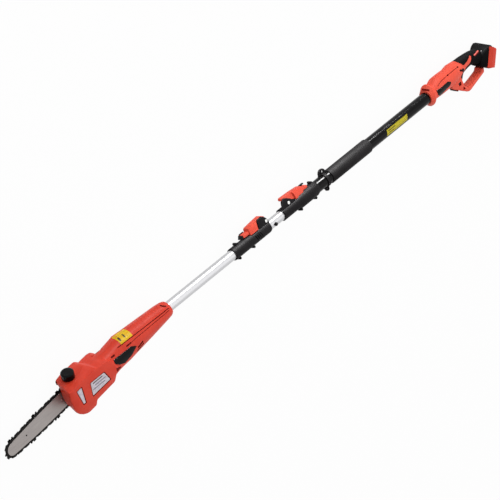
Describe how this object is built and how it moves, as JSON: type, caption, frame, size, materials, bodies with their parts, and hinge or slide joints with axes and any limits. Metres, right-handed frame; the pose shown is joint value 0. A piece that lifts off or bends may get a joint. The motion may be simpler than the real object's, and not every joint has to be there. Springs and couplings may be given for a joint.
{
  "type": "telescoping pole saw",
  "caption": "Cordless pole saw: chain saw head with guide bar on a telescoping pole with cam-lever clamps, foam grip, strap ring and D-shaped trigger handle.",
  "frame": {"origin": "middle of the base of the bounding box, with the saw lying on its right side", "axes": "+X forward along the pole to the bar tip, +Z the tool's left side, -Y the tool's top"},
  "size_m": [1.836, 0.1133, 0.068],
  "materials": {
    "head_shell_left": "satin moulded plastic",
    "head_shell_right": "satin moulded plastic",
    "sprocket_cover": "machined steel",
    "motor": "machined steel",
    "motor_pinion": "machined steel",
    "bevel_gear": "machined steel",
    "output_shaft": "machined steel",
    "shaft_bearing_left": "machined steel",
    "shaft_bearing_right": "machined steel",
    "bar_stud": "machined steel",
    "bar_pad": "machined steel",
    "bar_nut": "machined steel",
    "tension_screw": "machined steel",
    "oil_tank": "satin moulded plastic",
    "oil_cap": "satin moulded plastic",
    "cap_seal": "soft rubber",
    "oil_pump": "satin moulded plastic",
    "guide_bar": "machined steel",
    "saw_chain": "machined steel",
    "drive_sprocket": "machined steel",
    "head_tube": "anodised aluminium tube",
    "middle_tube": "anodised aluminium tube",
    "outer_tube": "glossy black painted tube",
    "locating_button": "satin moulded plastic",
    "guide_bush": "soft rubber",
    "lead_plug": "satin moulded plastic",
    "lead_socket": "satin moulded plastic",
    "lead_front": "soft rubber",
    "lead_middle": "soft rubber",
    "lead_coil": "soft rubber",
    "lead_rear": "soft rubber",
    "foam_grip": "closed-cell foam",
    "strap_ring": "satin moulded plastic",
    "coupling_half_left": "satin moulded plastic",
    "coupling_half_right": "satin moulded plastic",
    "coupling_lever_pin": "machined steel",
    "coupling_jaw": "soft rubber",
    "coupling_lever": "satin moulded plastic",
    "coupling_thumb_tab": "satin moulded plastic",
    "slide_clamp_half_left": "satin moulded plastic",
    "slide_clamp_half_right": "satin moulded plastic",
    "slide_clamp_lever_pin": "machined steel",
    "slide_clamp_jaw": "soft rubber",
    "slide_clamp_lever": "satin moulded plastic",
    "slide_clamp_thumb_tab": "satin moulded plastic",
    "handle_shell_left": "satin moulded plastic",
    "handle_shell_right": "satin moulded plastic",
    "grip_cover_left": "soft rubber",
    "grip_cover_right": "soft rubber",
    "battery_plate": "satin moulded plastic",
    "terminal_block": "satin moulded plastic",
    "terminal_left": "plain brass",
    "terminal_right": "plain brass",
    "trigger": "satin moulded plastic",
    "trigger_pin": "machined steel",
    "trigger_spring": "machined steel",
    "lock_off_button": "satin moulded plastic",
    "switch": "satin moulded plastic"
  },
  "bodies": {
    "pole_base": {"outer_tube": "outer_tube", "foam_grip": "foam_grip", "strap_ring": "strap_ring", "slide_clamp_half_left": "slide_clamp_half_left", "slide_clamp_half_right": "slide_clamp_half_right", "slide_clamp_lever_pin": "slide_clamp_lever_pin", "slide_clamp_jaw": "slide_clamp_jaw", "handle_shell_left": "handle_shell_left", "handle_shell_right": "handle_shell_right", "grip_cover_left": "grip_cover_left", "grip_cover_right": "grip_cover_right", "battery_plate": "battery_plate", "terminal_block": "terminal_block", "terminal_left": "terminal_left", "terminal_right": "terminal_right", "trigger_pin": "trigger_pin", "trigger_spring": "trigger_spring", "switch": "switch", "lead_rear": "lead_rear"},
    "middle_section": {"middle_tube": "middle_tube", "guide_bush": "guide_bush", "lead_middle": "lead_middle", "lead_socket": "lead_socket", "lead_coil": "lead_coil"},
    "button": {"locating_button": "locating_button"},
    "cutting_head": {"head_shell_left": "head_shell_left", "head_shell_right": "head_shell_right", "sprocket_cover": "sprocket_cover", "motor": "motor", "shaft_bearing_left": "shaft_bearing_left", "shaft_bearing_right": "shaft_bearing_right", "bar_stud": "bar_stud", "bar_pad": "bar_pad", "bar_nut": "bar_nut", "oil_tank": "oil_tank", "guide_bar": "guide_bar", "saw_chain": "saw_chain", "head_tube": "head_tube", "lead_plug": "lead_plug", "lead_front": "lead_front", "coupling_half_left": "coupling_half_left", "coupling_half_right": "coupling_half_right", "coupling_lever_pin": "coupling_lever_pin", "coupling_jaw": "coupling_jaw", "oil_pump": "oil_pump", "tension_screw": "tension_screw"},
    "coupling_lever": {"coupling_lever": "coupling_lever", "coupling_thumb_tab": "coupling_thumb_tab"},
    "slide_clamp_lever": {"slide_clamp_lever": "slide_clamp_lever", "slide_clamp_thumb_tab": "slide_clamp_thumb_tab"},
    "cap_seal": {"cap_seal": "cap_seal"},
    "oil_cap": {"oil_cap": "oil_cap"},
    "sprocket_shaft": {"output_shaft": "output_shaft", "bevel_gear": "bevel_gear", "drive_sprocket": "drive_sprocket"},
    "motor_shaft": {"motor_pinion": "motor_pinion"},
    "trigger": {"trigger": "trigger"},
    "lock_off_button": {"lock_off_button": "lock_off_button"}
  },
  "joints": [
    {"name": "pole_telescope", "type": "slide", "parent": "pole_base", "child": "middle_section", "axis": [1, 0, 0], "range_m": [0, 0.5]},
    {"name": "coupling_pull", "type": "slide", "parent": "middle_section", "child": "cutting_head", "axis": [1, 0, 0], "range_m": [0, 0.08]},
    {"name": "button_press", "type": "slide", "parent": "middle_section", "child": "button", "axis": [0, 0, -1], "range_m": [0, 0.003], "stiffness_N_per_m": 300, "springref_m": -0.002},
    {"name": "coupling_lever_swing", "type": "hinge", "parent": "cutting_head", "child": "coupling_lever", "pos_m": [0.04693, -0.03063, 0.02913], "axis": [0, 0.2588, -0.9659], "range_deg": [0, 45]},
    {"name": "slide_clamp_lever_swing", "type": "hinge", "parent": "pole_base", "child": "slide_clamp_lever", "pos_m": [-0.04007, -0.03063, 0.02913], "axis": [0, -0.2588, 0.9659], "range_deg": [0, 45]},
    {"name": "oil_cap_lift", "type": "slide", "parent": "cutting_head", "child": "cap_seal", "axis": [0.1132, -0.9783, 0.1736], "range_m": [0, 0.0045]},
    {"name": "oil_cap_turn", "type": "hinge", "parent": "cap_seal", "child": "oil_cap", "pos_m": [0.71375, -0.03127, 0.0295], "axis": [0.1132, -0.9783, 0.1736], "range_deg": [0, 540]},
    {"name": "sprocket_turn", "type": "hinge", "parent": "cutting_head", "child": "sprocket_shaft", "pos_m": [0.63776, 0.00775, 0.0145], "axis": [0, 0, 1], "continuous": true},
    {"name": "motor_turn", "type": "hinge", "parent": "cutting_head", "child": "motor_shaft", "pos_m": [0.58213, 0.00132, 0.034], "axis": [0.9934, 0.1149, 0], "continuous": true},
    {"name": "trigger_pull", "type": "hinge", "parent": "pole_base", "child": "trigger", "pos_m": [-0.83107, -0.01597, 0.034], "axis": [0, 0, -1], "range_deg": [0, 6], "stiffness_Nm_per_rad": 1.5, "springref_deg": -5.73},
    {"name": "lock_off_press", "type": "slide", "parent": "pole_base", "child": "lock_off_button", "axis": [0, 0, -1], "range_m": [0, 0.002], "stiffness_N_per_m": 300, "springref_m": -0.002}
  ],
  "couplings": [
    {"joint": "oil_cap_lift", "follows": "oil_cap_turn", "m_per_rad": 0.000477},
    {"joint": "motor_turn", "follows": "sprocket_turn", "ratio": -3}
  ]
}
